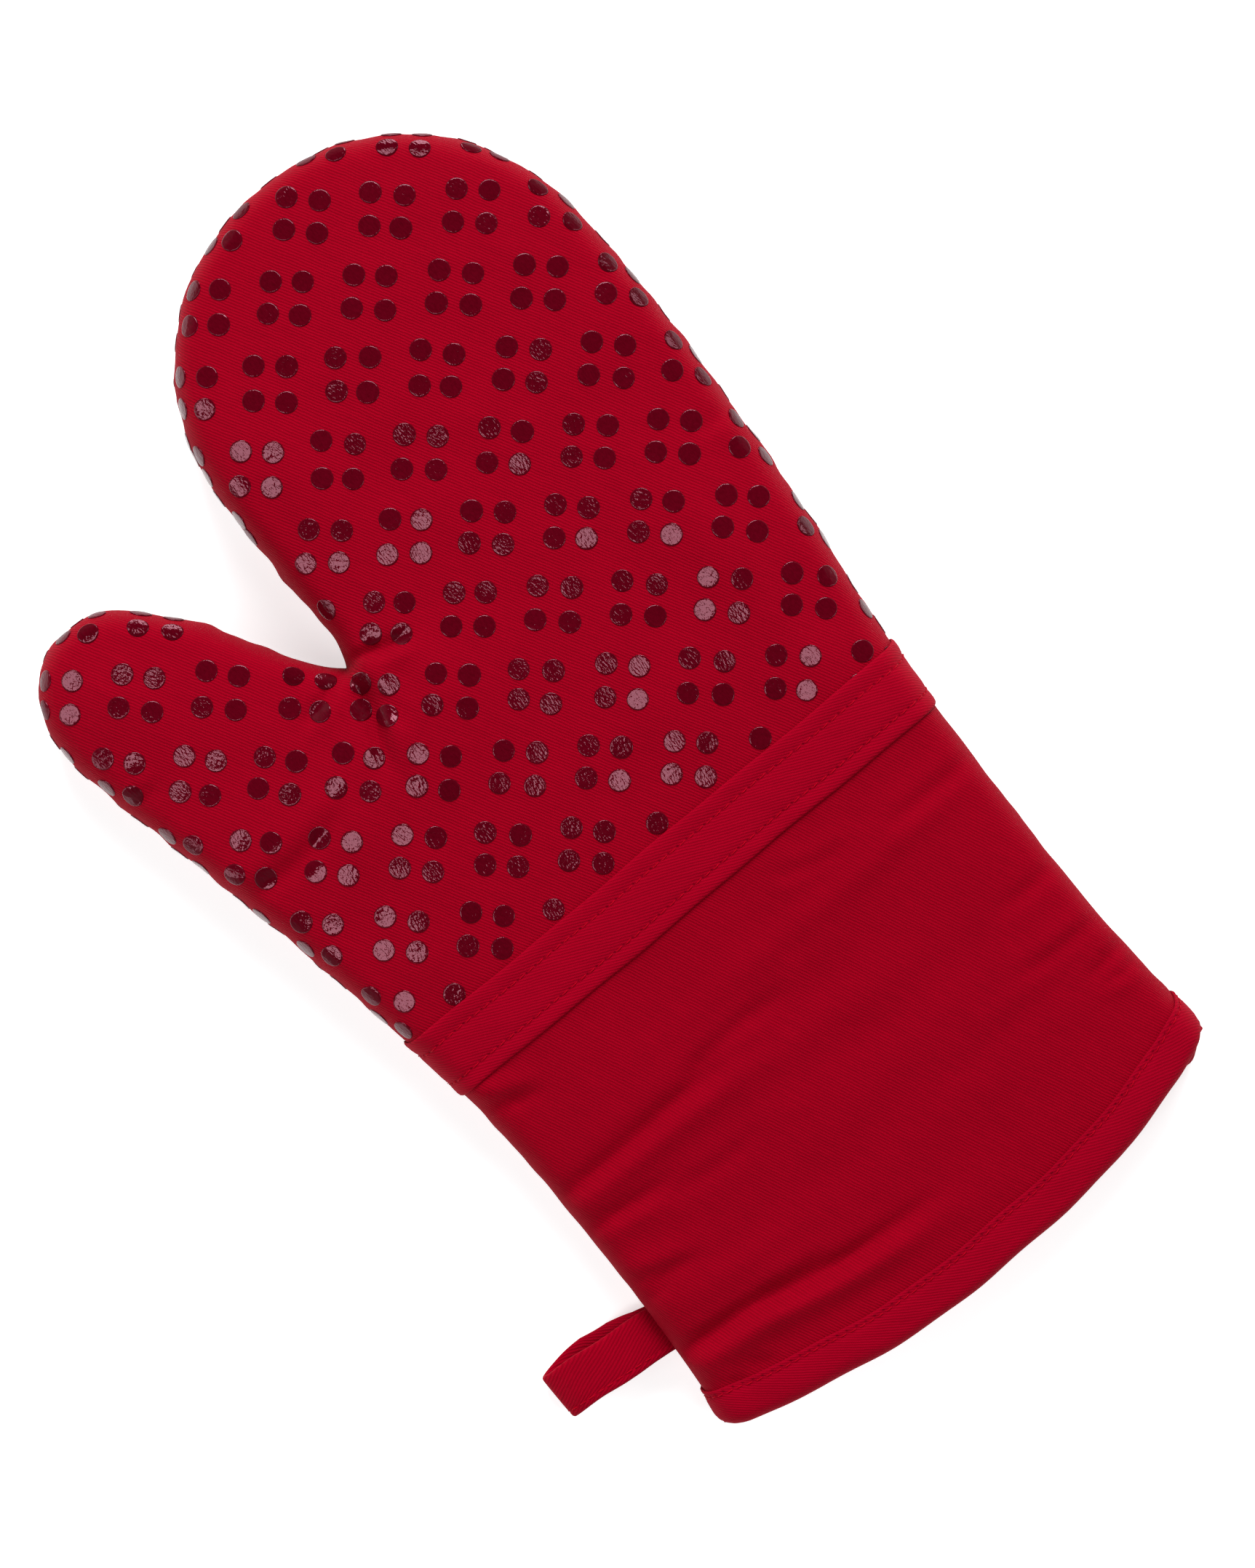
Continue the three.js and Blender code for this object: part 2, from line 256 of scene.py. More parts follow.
# Broad swells and hollows of the padded palm: x, y, half lengths along and across, turn, height.
SWELLS = [
    (-52, 184, 13, 26, 12, 1.7), (-33, 197, 13, 15, -10, 1.9), (-16, 207, 9, 17, 8, 1.5),
    (-10, 266, 12, 34, 3, 1.2), (13, 234, 9, 12, 0, 1.1), (33, 212, 8, 9, 0, 0.7),
    (61, 184, 8, 19, 3, 1.3), (63, 146, 9, 9, 0, 1.0), (27, 160, 12, 18, 0, 1.1),
    (-62, 152, 9, 12, 0, 0.9), (-82, 250, 10, 16, 15, 1.3), (30, 250, 8, 8, 0, 0.6),
    (38, 290, 26, 14, 0, 0.6), (-64, 214, 16, 9, -35, -0.8), (66, 232, 16, 12, 0, -0.7),
    (40, 196, 8, 22, 5, -0.8), (-75, 118, 15, 3, -20, 0.7),
    (-40, 80, 40, 3.8, -1, 0.8), (-28, 92, 46, 4.5, 1, 0.6), (-34, 67, 26, 4.0, -3, 0.6),
    (-66, 54, 12, 3, -8, 0.7), (18, 58, 52, 7, 2, 0.8), (5, 100, 50, 4, 1, 0.7),
    (52, 101, 26, 3.5, 3, 0.7), (32, 108, 16, 3, -8, 0.8), (50, 52, 26, 4, 3, 0.8),
    (-30, 22.5, 30, 3.6, -7, 0.9), (-58, 27.5, 18, 3, -2, 1.2), (-55, 44, 24, 4, -4, 0.8),
    (28, 40, 40, 7, 3, 0.7), (10, 76, 26, 5, -3, 0.6),
]

# Creases: a route, depth, half width, and how much cloth stands up on its left (+) or right (-).
CREASES = [
    ([(-82, 35.6), (-66, 34.2), (-54, 33.2), (-44, 30.4), (-30, 27.6), (-14, 26.0), (8, 25.6)],
     2.6, 2.2, -0.6),
    ([(-50, 34), (-40, 32.2), (-28, 31.4)], 0.9, 1.8, 0.4),
    ([(-80, 58.5), (-70, 55.0), (-60, 52.5), (-52, 51.8)], 1.5, 2.0, 0.5),
    ([(-80, 51.5), (-72, 51.0), (-64, 52.5)], 1.0, 1.6, -0.4),
    ([(-78, 84.5), (-58, 84.5), (-34, 85.3), (-6, 84.0)], 1.6, 2.3, -0.5),
    ([(-79, 74.5), (-68, 73.2), (-55, 71.5), (-44, 72.5)], 1.4, 1.9, -0.5),
    ([(-56, 68.5), (-36, 66.0), (-18, 67.0)], 0.8, 2.4, -0.4),
    ([(-30, 88.6), (-12, 90.2), (6, 88.8)], 1.1, 2.4, -0.4),
    ([(-80, 116), (-70, 112.2), (-58, 108.0)], 1.4, 2.0, 0.5),
    ([(20, 112.0), (30, 108.6), (44, 107.5)], 0.8, 2.0, 0.5),
    ([(80, 105.0), (60, 104.2), (42, 104.8)], 1.0, 2.2, -0.4),
    ([(78, 53.5), (60, 53.4), (44, 54.6)], 1.0, 2.0, -0.4),
    ([(80, 45.8), (70, 43.4), (60, 42.6)], 1.5, 1.5, 0.5),
    ([(80, 39.5), (71, 39.0), (60, 40.5)], 1.1, 1.4, 0.5),
    ([(79, 72), (66, 70), (52, 71)], 0.8, 2.0, 0.4),
    ([(-74, 22.5), (-66, 19.5)], 0.8, 1.3, 0.4),
    ([(-64, 22), (-57, 18.5)], 0.7, 1.3, 0.4),
    ([(-31.3, 223.5), (-32.0, 217), (-33.0, 211), (-35.2, 204.5), (-38.5, 197), (-41, 190)], 3.0, 2.4, 0.5),
    ([(-30.6, 222.8), (-26, 221.6), (-20, 219.4), (-10, 217.5)], 2.0, 1.8, -0.5),
    ([(-32.0, 222.4), (-38, 219.6), (-46, 218.0), (-54, 216.0)], 1.4, 1.8, 0.5),
    ([(-30.5, 213), (-28.5, 206), (-29.5, 198)], 0.9, 2.2, 0.5),
    ([(-104, 232), (-90, 229), (-82, 229.5)], 0.9, 1.8, 0.5),
    ([(-104, 197), (-86, 193), (-70, 192), (-54, 195), (-44, 200)], 1.3, 2.8, 0.4),
    ([(92, 214), (80, 211), (70, 211.5)], 0.8, 2.0, 0.5),
]


def crease_height(plan, route, depth, half_width, ridge):
    """What a crease adds to the height: a valley, and cloth that stands up along one side of it."""
    route = curve_through(route, 6)
    start, ahead = route[:-1], np.diff(route, axis=0)
    lengths = np.linalg.norm(ahead, axis=1)
    begun = np.r_[0, np.cumsum(lengths)]
    off = plan[:, None] - start
    t = np.clip((off * ahead).sum(2) / lengths ** 2, 0, 1)
    off = off - t[..., None] * ahead
    distance = np.linalg.norm(off, axis=2)
    nearest = (np.arange(len(plan)), distance.argmin(1))
    gap, place = distance[nearest], (begun[:-1] + t * lengths)[nearest]
    signed = ((ahead[:, 0] * off[..., 1] - ahead[:, 1] * off[..., 0]) / lengths)[nearest]
    span = begun[-1]
    fade = smoothstep(span - place, 0, span * 0.45) * (0.55 + 0.45 * smoothstep(place, 0, 4))
    beyond = np.exp(-np.maximum(gap - np.abs(signed), 0) / half_width)
    valley = -np.exp(-(gap / half_width) ** 2)
    stood = np.sign(ridge) * signed - 1.9 * half_width
    bank = abs(ridge) * np.exp(-(stood / (1.4 * half_width)) ** 2)
    return depth * fade * beyond * (valley + bank)


def folds(plan):
    x, y = plan[:, 0], plan[:, 1]
    height = 0.42 * lattice_noise(x / 23, y / 27, 3) + 0.16 * lattice_noise(x / 9.5, y / 11, 5)
    height += 0.045 * lattice_noise(x / 3.6, y / 4.2, 7)
    for cx, cy, along, across, turn, rise in SWELLS:
        c, s = math.cos(math.radians(turn)), math.sin(math.radians(turn))
        u, v = (x - cx) * c + (y - cy) * s, -(x - cx) * s + (y - cy) * c
        height += rise * np.exp(-(u / along) ** 2 - (v / across) ** 2)
    for route, depth, half_width, ridge in CREASES:
        near = ((plan > np.min(route, axis=0) - 16) & (plan < np.max(route, axis=0) + 16)).all(1)
        if near.any():
            height[near] += crease_height(plan[near], route, depth, half_width, ridge)
    return height


def crown(plan, from_edge):
    height = np.interp(plan[:, 1], CROWN_Y, CROWN_Z)
    height = height - 1.6 * np.exp(-(from_edge / 13) ** 2) - 1.0 * ((plan[:, 0] - 4) / 80) ** 2
    thumb = smoothstep(to_thumb(plan)[:, 1], 25, 75) * smoothstep(-plan[:, 0], 28, 44)
    return height - 2.6 * thumb


def lift(plan):
    """How far the back's cloth is off the table: the band, binding and dots stand below it."""
    x, y = plan[:, 0], plan[:, 1]
    under_band = smoothstep(np.abs(y - (BAND_LOW + BAND_HIGH) / 2), 22, 9)
    under_binding = smoothstep(y - hem(x), 22, 10)
    waves = 0.35 * (1 + lattice_noise(x / 18, y / 21, 11))
    return 0.5 + 0.55 * np.maximum(under_band, under_binding) + waves


def edge_wobble(along, seed=0.0):
    """The seam draws the edge in between its stitches."""
    waves = 0.16 * np.sin(along / 1.55 + 2 * np.sin(along / 9.0) + seed)
    waves += 0.20 * np.sin(along / 2.6 + 3 * np.sin(along / 23.0 + 1) + 2 * seed)
    waves += 0.22 * np.sin(along / 5.3 + 2 * np.sin(along / 31.0 + 2) + seed)
    return waves - 0.32 * np.cos(along / 2.9 + 2.2 * np.sin(along / 17.0) + seed)


def place(side, plan, share, arc, along, inward, from_edge, detail=1.0):
    """Points of a half's outer face. The plan points are moved by the puckers of the edge."""
    pucker = np.exp(-arc / 6.5) * detail * (0.45 + 0.55 * smoothstep(plan[:, 1], 118, 150))
    draw = -edge_wobble(along) * pucker + 0.75 * np.exp(-(arc / 1.1) ** 2) * detail
    flat = plan + inward * draw[:, None]
    if side is PALM:
        height = crown(plan, from_edge) + detail * folds(plan) - SEAM_Z
        z = SEAM_Z + height * share
    else:
        z = SEAM_Z - (SEAM_Z - lift(plan)) * share
    rise = 0.5 * edge_wobble(along, 2.0) * np.exp(-((arc - 7) / 6) ** 2) * detail
    return np.c_[flat, z + np.where(side is PALM, 1, -0.6) * rise]


def skin(side, cloth, offset=0.0, detail=1.0):
    """Points of a half's outer face from places on its flat cloth, raised by offset."""
    def at(points):
        distance, along, foot, inward = nearest_on_outline(points)
        arc = np.clip(side.length - (side.reach - distance), 0, side.length)
        inset, share = side.turn(arc)
        turned = distance < side.reach
        plan = np.where(turned[:, None], foot + inward * inset[:, None], points)
        from_edge = np.where(turned, inset, distance)
        return place(side, plan, share, arc, along, inward, from_edge, detail)

    cloth = np.asarray(cloth, float)
    here = at(cloth)
    step = 0.5
    dx = at(cloth + [step, 0]) - at(cloth - [step, 0])
    dy = at(cloth + [0, step]) - at(cloth - [0, step])
    normal = unit(np.cross(dx, dy)) * side.up
    offset = np.broadcast_to(np.asarray(offset, float), len(cloth))
    return here + normal * offset[:, None], normal


# --- meshes ---
UV_PER_MM = 0.01


def add_object(name, data):
    obj = bpy.data.objects.new(name, data)
    bpy.context.scene.collection.objects.link(obj)
    return obj


def make_object(name, points, faces, uv, normals=None, material=None):
    mesh = bpy.data.meshes.new(name)
    mesh.from_pydata(to_row(points).tolist(), [], [list(map(int, f)) for f in faces])
    mesh.polygons.foreach_set("use_smooth", np.ones(len(mesh.polygons), bool))
    corner = np.empty(len(mesh.loops), np.int32)
    mesh.loops.foreach_get("vertex_index", corner)
    layer = mesh.uv_layers.new(name="cloth")
    layer.data.foreach_set("uv", (np.asarray(uv, float)[corner] * UV_PER_MM).ravel())
    if normals is not None:
        mesh.normals_split_custom_set_from_vertices(np.asarray(normals, float).tolist())
    mesh.materials.append(material)
    return add_object(name, mesh)


def vertex_normals(points, faces):
    total = np.zeros_like(points)
    for size in (3, 4):
        chosen = np.array([f for f in faces if len(f) == size], int)
        if len(chosen):
            p = points[chosen]
            area = np.cross(p[:, 2] - p[:, 0], p[:, -1] - p[:, 1] if size == 4 else p[:, 2] - p[:, 1])
            for k in range(size):
                np.add.at(total, chosen[:, k], area)
    return unit(total)


def cut_of(points, faces, uv):
    """A flat cut's width and length, and its area, in metres."""
    area = 0.0
    for f in faces:
        p = points[list(f)]
        for k in range(1, len(f) - 1):
            area += np.linalg.norm(np.cross(p[k] - p[0], p[k + 1] - p[0])) / 2
    width, length = (uv.max(0) - uv.min(0)) / 1000
    return (width, length), min(area / 1e6, width * length)


class Sheet:
    """A half's cloth as a mesh: rings that turn over the edge, and an even field inside them."""

    def __init__(self, side, spacing, arcs, detail=1.0):
        outline = Outline(spacing)
        keep = np.nonzero(outline.q[:, 1] > hem(HEM_HALF_WIDTH) + CLOTH_START)[0]
        keep = slice(keep[0], keep[-1] + 1)
        q, n, along = outline.q[keep], outline.n[keep], outline.along[keep]
        arcs = np.append(arcs, side.length)
        columns, rings = len(q), len(arcs)
        inset, share = side.turn(arcs)
        cloth_inset = side.reach - (side.length - arcs)
        plan = (q[:, None] + n[:, None] * inset[:, None]).reshape(-1, 2)
        cloth = (q[:, None] + n[:, None] * cloth_inset[:, None]).reshape(-1, 2)
        starts = (a for a in range((columns - 1) * rings) if (a + 1) % rings)
        faces = [(a, a + 1, a + rings + 1, a + rings) for a in starts]
        last = np.arange(columns) * rings + rings - 1
        field, field_faces = self.field(side, plan[last], spacing)
        distance, near, _, direction = nearest_on_outline(field)
        index = np.r_[last, len(plan) + np.arange(len(field))]
        faces += [tuple(index[list(f)]) for f in field_faces]
        ones = np.ones(len(field))
        self.plan, self.uv = np.vstack([plan, field]), np.vstack([cloth, field])
        arc = np.r_[np.tile(arcs, columns), side.length * ones]
        along, inward = np.r_[np.repeat(along, rings), near], np.vstack([np.repeat(n, rings, 0), direction])
        share, from_edge = np.r_[np.tile(share, columns), ones], np.r_[np.tile(inset, columns), distance]
        points = place(side, self.plan, share, arc, along, inward, from_edge, detail)
        normals = vertex_normals(points, faces)
        if np.median(normals[len(plan):, 2]) * side.up < 0:
            faces = [f[::-1] for f in faces]
            normals = -normals
        normals[arc < 1e-6, 2] = 0
        self.points, self.faces, self.normals = points, faces, unit(normals)
        self.middles = np.array([self.plan[list(f)].mean(0) for f in faces])

    def field(self, side, ring, spacing):
        """Even points inside the last ring and above the hem, joined to the ring by triangles."""
        x = np.arange(ring[-1][0] - spacing, ring[0][0] + spacing * 0.5, -spacing)
        border = np.vstack([ring, np.c_[x, hem(x) + CLOTH_START]])
        grid = []
        for number, y in enumerate(np.arange(0, 330, spacing * 0.866)):
            x = np.arange(-105, 92, spacing) + (number % 2) * spacing / 2
            grid.append(np.c_[x, np.full(len(x), y)])
        grid = np.vstack(grid)
        clear = 0.6 * spacing
        inside = nearest_on_outline(grid)[0] > side.reach + clear
        inside &= grid[:, 1] > hem(grid[:, 0]) + CLOTH_START + clear
        every = np.vstack([border, grid[inside]])
        out = delaunay_2d_cdt([tuple(p) for p in every], [], [list(range(len(border)))], 1, 1e-6)
        source = np.array([o[0] for o in out[3]])
        return every[len(ring):], [tuple(source[list(f)]) for f in out[2]]

    def piece(self, region, depths, hem_depths, back):
        """A closed layer over a region's faces, from back inside the hem: points, faces, uv, normals."""
        wanted = region(self.middles) & (self.middles[:, 1] > hem(self.middles[:, 0]) + back)
        chosen = [f for f, inside in zip(self.faces, wanted) if inside]
        used = np.unique(np.concatenate([np.array(f) for f in chosen]))
        renumber = np.full(len(self.points), -1)
        renumber[used] = np.arange(len(used))
        chosen = [tuple(renumber[list(f)]) for f in chosen]
        points, normals, uv = self.points[used], self.normals[used], self.uv[used]
        near_hem = 1 - smoothstep(self.plan[used, 1] - hem(self.plan[used, 0]), 15, 21)[:, None]
        outer, inner = (deep + (at_hem - deep) * near_hem for deep, at_hem in zip(depths, hem_depths))
        count = len(points)
        edges = dict.fromkeys((a, b) for f in chosen for a, b in zip(f, f[1:] + f[:1]))
        walls = [(b, a, a + count, b + count) for a, b in edges if (b, a) not in edges]
        both = [*chosen, *[tuple(v + count for v in f[::-1]) for f in chosen], *walls]
        self.cut = cut_of(points - normals * (outer + inner) / 2, chosen, uv)
        return (np.vstack([points - normals * outer, points - normals * inner]), both,
                np.vstack([uv, uv]), np.vstack([normals, -normals]))


# --- regions, and which of them hang on a body ---
FOLD_SPLIT_Y = 128.0


def in_cuff(middle):
    return middle[:, 1] < FOLD_SPLIT_Y


def in_fingers(middle):
    return (middle[:, 1] > 223.0) & (middle[:, 0] > -31.0)


def in_thumb(middle):
    return (to_thumb(middle)[:, 1] > 41.0) & (middle[:, 0] <= -31.0)


def in_hand(middle):
    return ~in_cuff(middle) & ~in_fingers(middle) & ~in_thumb(middle)


REGIONS = {"cuff": in_cuff, "hand": in_hand, "fingers": in_fingers, "thumb": in_thumb}

# Where each region's fold would start and end.
BLENDS = {
    "cuff": ((0, 124, 0), (0, 98, 0)),
    "fingers": ((0, 226, 0), (0, 262, 0)),
    "thumb": ((*from_thumb(10, 42.5), 0), (*from_thumb(10, 64), 0)),
}


def move_with(obj, region):
    if region in BLENDS:
        start, end = BLENDS[region]
        tuple(to_row(start))
        tuple(to_row(end))
        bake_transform(obj)
    else:
        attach(obj, region)


# --- materials ---
class Nodes:
    """Short calls for building the node tree of a material or world."""

    def __init__(self, owner):
        owner.use_nodes = True
        self.owner, self.tree = owner, owner.node_tree
        self.shader = self.tree.nodes.get("Principled BSDF")

    def new(self, kind, **settings):
        node = self.tree.nodes.new(kind)
        for key, value in settings.items():
            setattr(node, key, value)
        return node

    def feed(self, socket, value):
        """Give a socket a plain value, or link another node's output to it."""
        if isinstance(value, bpy.types.NodeSocket):
            self.tree.links.new(value, socket)
        else:
            socket.default_value = value

    def shading(self, **values):
        """Feed the shader's own sockets, named with _ for each space."""
        for name, value in values.items():
            self.feed(self.shader.inputs[name.replace("_", " ")], value)

    def math(self, operation, *values):
        node = self.new("ShaderNodeMath", operation=operation)
        for socket, value in zip(node.inputs, values):
            self.feed(socket, value)
        return node.outputs[0]

    def times(self, value, factor):
        return self.math("MULTIPLY", value, factor)

    def times_plus(self, value, factor, offset):
        return self.math("MULTIPLY_ADD", value, factor, offset)

    def total(self, *values):
        result = values[0]
        for value in values[1:]:
            result = self.math("ADD", result, value)
        return result

    def wave(self, cycles):
        """From 0 to 1 and back for each whole cycle."""
        return self.times_plus(self.math("COSINE", self.times(cycles, 2 * math.pi)), 0.5, 0.5)

    def parts(self, vector):
        node = self.new("ShaderNodeSeparateXYZ")
        self.feed(node.inputs[0], vector)
        return node.outputs

    def cloth(self):
        """The cloth's own coordinates."""
        return self.new("ShaderNodeUVMap", uv_map="cloth").outputs["UV"]

    def noise(self, vector, scale, detail=2.0, roughness=0.5):
        node = self.new("ShaderNodeTexNoise")
        settings = {"Scale": scale, "Detail": detail, "Roughness": roughness, "Vector": vector}
        for name, value in settings.items():
            self.feed(node.inputs[name], value)
        return node.outputs["Fac"]

    def ramp(self, factor, *stops):
        """A colour between two stops, each a position and a colour."""
        node = self.new("ShaderNodeValToRGB")
        for element, (position, colour) in zip(node.color_ramp.elements, stops):
            element.position, element.color = position, (*colour, 1)
        self.feed(node.inputs["Fac"], factor)
        return node.outputs["Color"]

    def shade(self, colour, factor):
        """The colour, made lighter or darker by a factor."""
        node = self.new("ShaderNodeVectorMath", operation="SCALE")
        self.feed(node.inputs[0], colour)
        self.feed(node.inputs["Scale"], factor)
        return node.outputs[0]

    def bump(self, height, distance, strength=0.8):
        node = self.new("ShaderNodeBump")
        for name, value in {"Distance": distance, "Strength": strength, "Height": height}.items():
            self.feed(node.inputs[name], value)
        self.shading(Normal=node.outputs["Normal"])


RED_GLOSS = (1.0, 0.02, 0.08, 1)
# Needle holes in a row: how fast they fade with distance, how much painted shade darkens them and how deep
# they are.
HOLE_FADE, HOLE_PAINTED_SHADE, HOLE_DEPTH = 9.0, 0.45, 1.4


def needle_holes(t, u, v, rows, pitch):
    """From 1 in the middle of each hole to 0 on the cloth, for each row."""
    for row in rows:
        dv = t.math("SUBTRACT", v, row)
        du = t.times(t.math("SUBTRACT", t.math("FRACT", t.math("DIVIDE", u, pitch)), 0.5), pitch)
        far = t.math("ADD", t.times(du, du), t.times(dv, dv))
        yield t.math("EXPONENT", t.times(far, -HOLE_FADE))


def twill(name, colour, lean_deg, pitch=0.735, groove_shade=0.48, relief=0.00015, holes=((), 1)):
    """Woven cotton twill with ribs that lean lean_deg from the cloth's x axis. Pitches are in mm; the colour
    has painted shade in the grooves between the ribs.
    """
    t = Nodes(bpy.data.materials.new(name))
    uv = t.cloth()
    u, v = (t.times(part, 1 / UV_PER_MM) for part in t.parts(uv)[:2])
    drift = t.times(t.noise(uv, 9, 3), 0.6)
    wander = t.times(t.noise(uv, 60, 2), 0.25)
    c, s = math.cos(math.radians(lean_deg)), math.sin(math.radians(lean_deg))
    across = t.total(t.times(u, -s), t.times(v, c), drift, wander)
    along = t.total(t.times(u, c), t.times(v, s))
    rib_count = t.math("DIVIDE", across, pitch)
    rib = t.math("POWER", t.wave(rib_count), 0.7)
    yarn = t.wave(t.total(t.math("DIVIDE", along, pitch * 0.62), t.times(rib_count, 0.5)))
    fibre = t.noise(uv, 900, 3, 0.7)
    streaks = t.new("ShaderNodeCombineXYZ")
    t.feed(streaks.inputs[0], t.times(along, 0.10))
    t.feed(streaks.inputs[1], t.times(across, 0.9))
    slub = t.noise(streaks.outputs[0], 1)
    weave = t.times(rib, t.times_plus(yarn, 0.35, 0.65))
    height = t.total(weave, t.times(fibre, 0.35))
    patches = t.noise(uv, 2.2, 3, 0.55)
    # The tone follows the weave, so the grooves between the ribs are darker: painted shade, on top of the
    # bump.
    tone = t.total(t.times(weave, groove_shade), t.times(fibre, 0.22), t.times(slub, 0.06),
                   t.times(patches, 0.12))
    factor = t.math("ADD", tone, 1 - groove_shade * 0.5 - 0.20)
    # The needle holes are dented by the bump and darkened by painted shade.
    for pit in needle_holes(t, u, v, *holes):
        factor = t.times(factor, t.times_plus(pit, -HOLE_PAINTED_SHADE, 1.0))
        height = t.math("SUBTRACT", height, t.times(pit, HOLE_DEPTH))
    base = t.ramp(slub, (0.3, tuple(c * 0.96 for c in colour)), (0.7, tuple(c * 1.03 for c in colour)))
    t.shading(Base_Color=t.shade(base, factor), Roughness=t.times_plus(fibre, 0.12, 0.82),
              Specular_IOR_Level=0.25, Specular_Tint=RED_GLOSS,
              Sheen_Weight=0.05, Sheen_Roughness=0.5, Sheen_Tint=(0.9, 0.03, 0.08, 1))
    t.bump(height, relief)
    return t.owner


def silicone():
    t = Nodes(bpy.data.materials.new("grip_silicone"))
    uv = t.cloth()
    stretched = t.new("ShaderNodeMapping")
    stretched.inputs["Scale"].default_value = (1.6, 0.7, 1)
    stretched.inputs["Rotation"].default_value = (0, 0, math.radians(25))
    t.feed(stretched.inputs["Vector"], uv)
    wrinkle = t.noise(stretched.outputs[0], 118, 1)
    grain = t.noise(uv, 420)
    patches = t.noise(uv, 4)
    height = t.total(wrinkle, t.times(grain, 0.05))
    base = t.ramp(wrinkle, (0.3, (0.074, 0.0004, 0.0045)), (0.7, (0.094, 0.0006, 0.0062)))
    t.shading(Base_Color=t.shade(base, t.times_plus(patches, 0.3, 0.85)),
              Roughness=t.times_plus(grain, 0.05, 0.05), IOR=1.44, Specular_Tint=(1.0, 0.45, 0.58, 1))
    t.bump(height, 0.00013)
    return t.owner


def batting():
    t = Nodes(bpy.data.materials.new("wadding"))
    where = t.new("ShaderNodeTexCoord").outputs["Object"]
    clumps, fibres = t.noise(where, 120, 4, 0.6), t.noise(where, 900, 3, 0.7)
    base = t.ramp(clumps, (0.3, (0.66, 0.63, 0.56)), (0.7, (0.86, 0.84, 0.79)))
    t.shading(Base_Color=base, Roughness=t.times_plus(fibres, 0.1, 0.88), Specular_IOR_Level=0.1)
    t.bump(t.total(clumps, fibres), 0.0006, 0.6)
    return t.owner


def twisted_thread():
    t = Nodes(bpy.data.materials.new("thread"))
    along, around = t.parts(t.cloth())[:2]
    ply = t.wave(t.total(t.times(along, 180), t.times(around, 100)))
    # The colour is darker in the grooves between the plies: painted shade, on top of the bump.
    base = t.ramp(ply, (0.0, (0.30, 0.0008, 0.009)), (1.0, (0.46, 0.0016, 0.013)))
    t.shading(Base_Color=base, Roughness=t.times_plus(ply, -0.1, 0.75), Specular_IOR_Level=0.2,
              Specular_Tint=RED_GLOSS)
    t.bump(ply, 0.00005)
    return t.owner


STITCH_PITCH, BINDING_PITCH = 2.9, 2.6
BAND_ROWS, BINDING_ROW = (124.4, 134.4), 9.6
BAND_HOLES, BINDING_HOLES = (BAND_ROWS, STITCH_PITCH), ((BINDING_ROW,), BINDING_PITCH)

MATERIALS = {
    "shell": twill("shell_twill", (0.268, 0.0003, 0.0092), -62),
    "cuff": twill("cuff_twill", (0.255, 0.0003, 0.0085), -66),
    "band": twill("band_twill", (0.285, 0.0003, 0.0105), -24, 0.72, 0.36, 0.00011, BAND_HOLES),
    "binding": twill("binding_twill", (0.268, 0.0003, 0.0102), -30, 0.72, 0.36, 0.00011, BINDING_HOLES),
    "loop": twill("loop_twill", (0.29, 0.0003, 0.0105), -25, 0.84, 0.42),
    "lining": twill("lining_cotton", (0.30, 0.001, 0.009), 90, 0.5, 0.16, 0.00005),
    "wadding": batting(),
    "silicone": silicone(),
    "thread": twisted_thread(),
}


# --- shells, wadding and linings ---
PALM_ARCS = [0, 0.5, 1.1, 1.9, 2.9, 4.1, 5.4, 6.8, 8.3, 9.8, 11.4, 13.0, 14.7, 16.4]
BACK_ARCS = [0, 0.5, 1.1, 2.0, 3.2, 4.8, 6.6, 8.5, 10.5, 12.6]
COARSE_ARCS = [0, 3.0, 6.5, 10.5]


def make_layers(side, spacing, arcs):
    fine = Sheet(side, spacing, arcs)
    coarse = Sheet(side, 4.5, COARSE_ARCS, 0.35)
    for name, region in REGIONS.items():
        for layer, (slot, depths, hem_depths, back) in LAYERS.items():
            sheet = fine if layer == "shell" else coarse
            material = MATERIALS["cuff" if (layer, name) == ("shell", "cuff") else layer]
            parts = sheet.piece(region, depths, hem_depths, back)
            obj = make_object(f"{side.name}_{name}_{layer}", *parts, material)
            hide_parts(f"{side.name}_{layer}_{name}")
            move_with(obj, name)
            if layer == "wadding":
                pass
            else:
                flat, area = sheet.cut
    return BVHTree.FromPolygons(fine.points.tolist(), [tuple(map(int, f)) for f in fine.faces])


SHELLS = {PALM: make_layers(PALM, 1.7, PALM_ARCS), BACK: make_layers(BACK, 2.6, BACK_ARCS)}


def on_shell(side, cloth, heights):
    """Points at heights above the shell's own mesh, from places on its flat cloth."""
    points, normals = skin(side, cloth)
    found = [SHELLS[side].find_nearest(Vector(p))[0] for p in points]
    heights = np.broadcast_to(np.asarray(heights, float), len(points))
    return np.array([tuple(v) for v in found]) + normals * heights[:, None], normals


# --- tubes, strips and stitches ---
def swept(grid, ring=False):
    """Faces of a tube from rows of points round it. Its ends are capped, or meet in a ring."""
    rows, count = grid.shape[:2]
    faces = []
    for r in range(rows if ring else rows - 1):
        here, there = r * count, (r + 1) % rows * count
        for k in range(count):
            after = (k + 1) % count
            faces.append((here + k, here + after, there + after, there + k))
    if not ring:
        faces.append(tuple(range(count))[::-1])
        faces.append(tuple((rows - 1) * count + k for k in range(count)))
    return faces


def grid_uv(along, across):
    """UVs of a grid of points, from one value for each row and one for each point across it."""
    return np.stack(np.broadcast_arrays(along[:, None], across[None]), -1).reshape(-1, 2)


THREAD_RADIUS = 0.17
# A stitch from end to end: place along it, height above the cloth, and share of the thread's radius.
STITCH_STEPS = np.array([0.0, 0.12, 0.35, 0.65, 0.88, 1.0])
STITCH_SINK = np.array([-0.35, 0.0, 0.12, 0.12, 0.0, -0.35])
STITCH_GIRTH = np.array([0.5, 0.9, 1.0, 1.0, 0.9, 0.5])


def repeated(faces, count, copies):
    """The faces of copies of a shape that has count points."""
    return [tuple(v + n * count for v in f) for n in range(copies) for f in faces]


